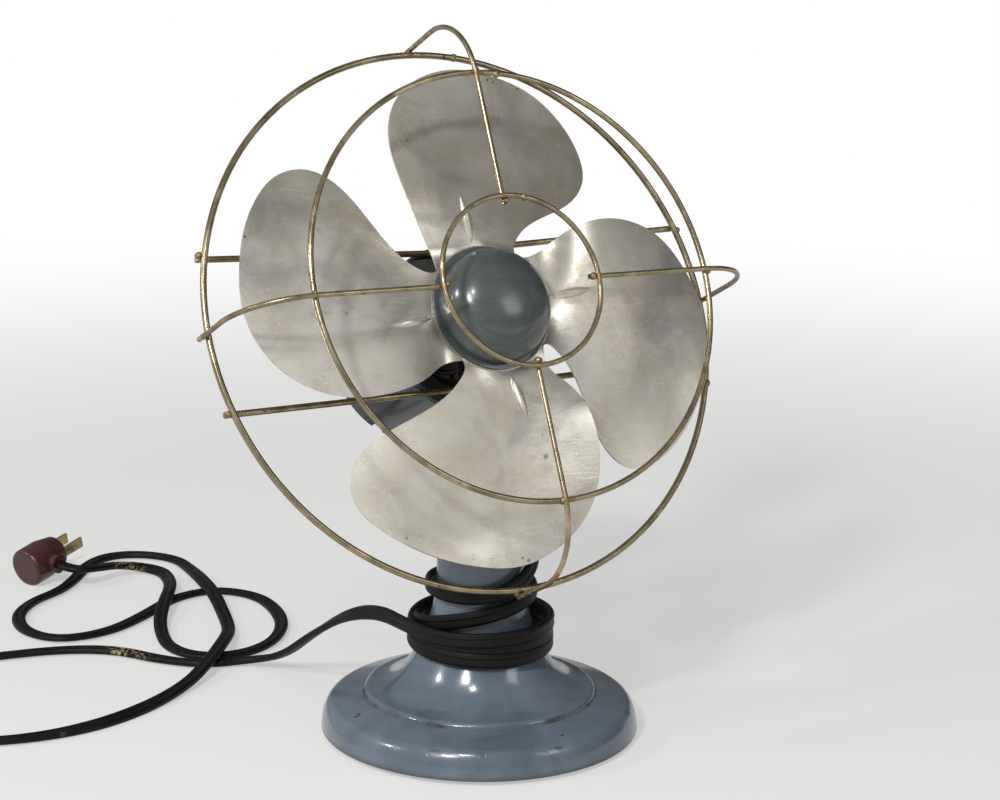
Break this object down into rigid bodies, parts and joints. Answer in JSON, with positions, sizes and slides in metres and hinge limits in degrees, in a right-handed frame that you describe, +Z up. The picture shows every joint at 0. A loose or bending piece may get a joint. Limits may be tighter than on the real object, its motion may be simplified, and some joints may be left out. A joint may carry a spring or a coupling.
{
  "type": "desk fan",
  "caption": "Old desk fan with blue-grey enamel base and motor, aluminium blades in an open wire guard, and a flat black cord wrapped round its neck.",
  "frame": {"origin": "middle of the base underside, on the surface the fan stands on", "axes": "+Z up, -Y the way the fan blows, +X to the right of someone looking the way +Y points"},
  "size_m": [0.4321, 0.4601, 0.3673],
  "materials": {
    "enamel": "gloss blue-grey enamel, chipped",
    "spinner_paint": "gloss grey-green moulding",
    "blade_metal": "tarnished, scratched sheet",
    "guard_wire": "dull lacquered brass-plated wire, rust at the welds",
    "steel": "plain steel",
    "lamination": "dark core steel",
    "bronze": "sintered bronze",
    "winding": "enamelled winding wire",
    "felt": "pressed felt",
    "rubber": "black rubber",
    "cord_rubber": "worn black flat cord",
    "plug_moulding": "brown moulding",
    "prong_brass": "brass"
  },
  "bodies": {
    "stand": {"base_shell": "enamel", "bottom_plate": "steel", "base_felt": "felt", "plate_screws": "steel", "tilt_yoke": "enamel", "yoke_nut": "steel", "hinge_bolt": "steel", "friction_washers": "steel", "cord_wrap": "cord_rubber", "cord_lead": "cord_rubber", "plug_body": "plug_moulding", "plug_prongs": "prong_brass"},
    "head": {"motor_housing": "enamel", "motor_front_cover": "enamel", "case_screws": "steel", "stator_core": "lamination", "stator_coils": "winding", "front_bearing": "bronze", "rear_bearing": "bronze", "oil_felt": "felt", "cord_grommet": "rubber", "guard_rear_ring": "guard_wire", "guard_middle_ring": "guard_wire", "guard_centre_ring": "guard_wire", "guard_rib_1": "guard_wire", "guard_rib_2": "guard_wire", "guard_rib_3": "guard_wire", "guard_rib_4": "guard_wire", "guard_bar_upper": "guard_wire", "guard_bar_lower": "guard_wire", "guard_clips": "steel", "clip_screws": "steel", "cord_drop": "cord_rubber"},
    "rotor": {"shaft": "steel", "rotor_core": "lamination", "thrust_washers": "steel", "blade_hub": "bronze", "hub_set_screw": "steel", "blade_rivets": "blade_metal", "blade_wheel": "blade_metal", "clamp_washer": "steel", "spinner_cap": "spinner_paint"},
    "knob": {"wing_nut": "steel"}
  },
  "joints": [
    {"name": "head_tilt", "type": "hinge", "parent": "stand", "child": "head", "pos_m": [0, 0.00001, 0.12764], "axis": [1, 0, 0], "range_deg": [-14, 16], "deforming": ["cord_drop"]},
    {"name": "blade_spin", "type": "hinge", "parent": "head", "child": "rotor", "pos_m": [0, 0, 0.2255], "axis": [0, -0.8788, 0.4772], "continuous": true},
    {"name": "wing_nut_turn", "type": "hinge", "parent": "stand", "child": "knob", "pos_m": [-0.016, 0.00001, 0.12764], "axis": [1, 0, 0], "continuous": true}
  ]
}
